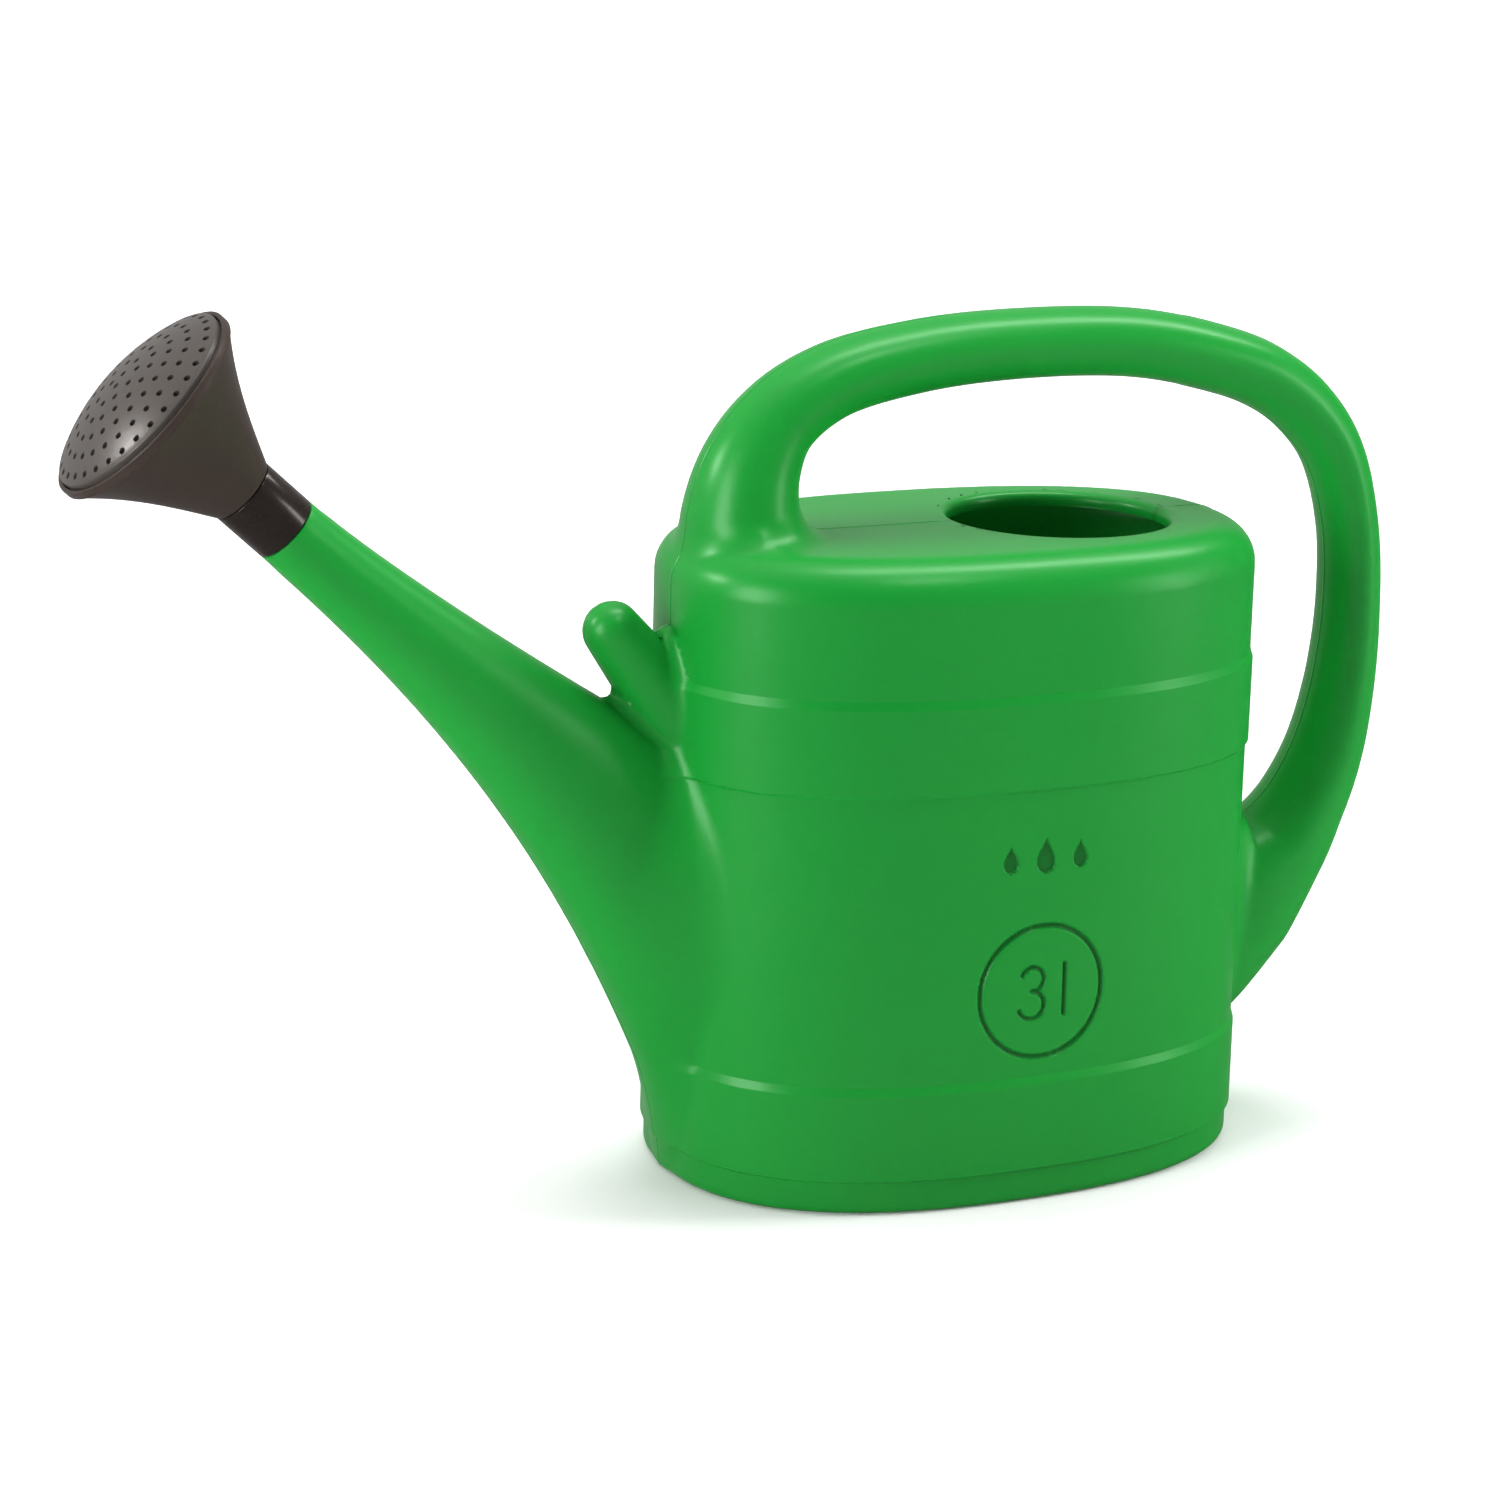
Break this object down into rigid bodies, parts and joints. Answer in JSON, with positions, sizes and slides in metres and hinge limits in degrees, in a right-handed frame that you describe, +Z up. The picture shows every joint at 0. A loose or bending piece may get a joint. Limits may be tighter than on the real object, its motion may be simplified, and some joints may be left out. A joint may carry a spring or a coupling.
{
  "type": "watering can",
  "caption": "Oval plastic watering can with a loop handle, a long tapering spout, a filler opening in the deck and a push-on rose.",
  "frame": {"origin": "on the floor, below the middle of the whole object's plan box", "axes": "+Z up, spout towards -X, rear leg of the handle towards +X, Y = 0 is the mould's parting plane and the front wall with the capacity mark faces -Y"},
  "size_m": [0.4044, 0.1232, 0.2557],
  "materials": {
    "green_plastic": "satin",
    "collar_black": "gloss",
    "funnel_black": "satin",
    "face_grey": "satin"
  },
  "bodies": {
    "can": {"tank_base": "green_plastic", "tank_wall": "green_plastic", "tank_deck": "green_plastic", "spout": "green_plastic", "spigot": "green_plastic", "handle": "green_plastic", "rose_peg": "green_plastic"},
    "collar": {"rose_collar": "collar_black"},
    "rose_head": {"rose_funnel": "funnel_black", "rose_face": "face_grey"}
  },
  "joints": [
    {"name": "rose_pull", "type": "slide", "parent": "can", "child": "collar", "axis": [-0.7314, 0, 0.682], "range_m": [0, 0.045]},
    {"name": "rose_twist", "type": "hinge", "parent": "collar", "child": "rose_head", "pos_m": [-0.14233, 0, 0.197], "axis": [-0.7314, 0, 0.682], "continuous": true}
  ]
}
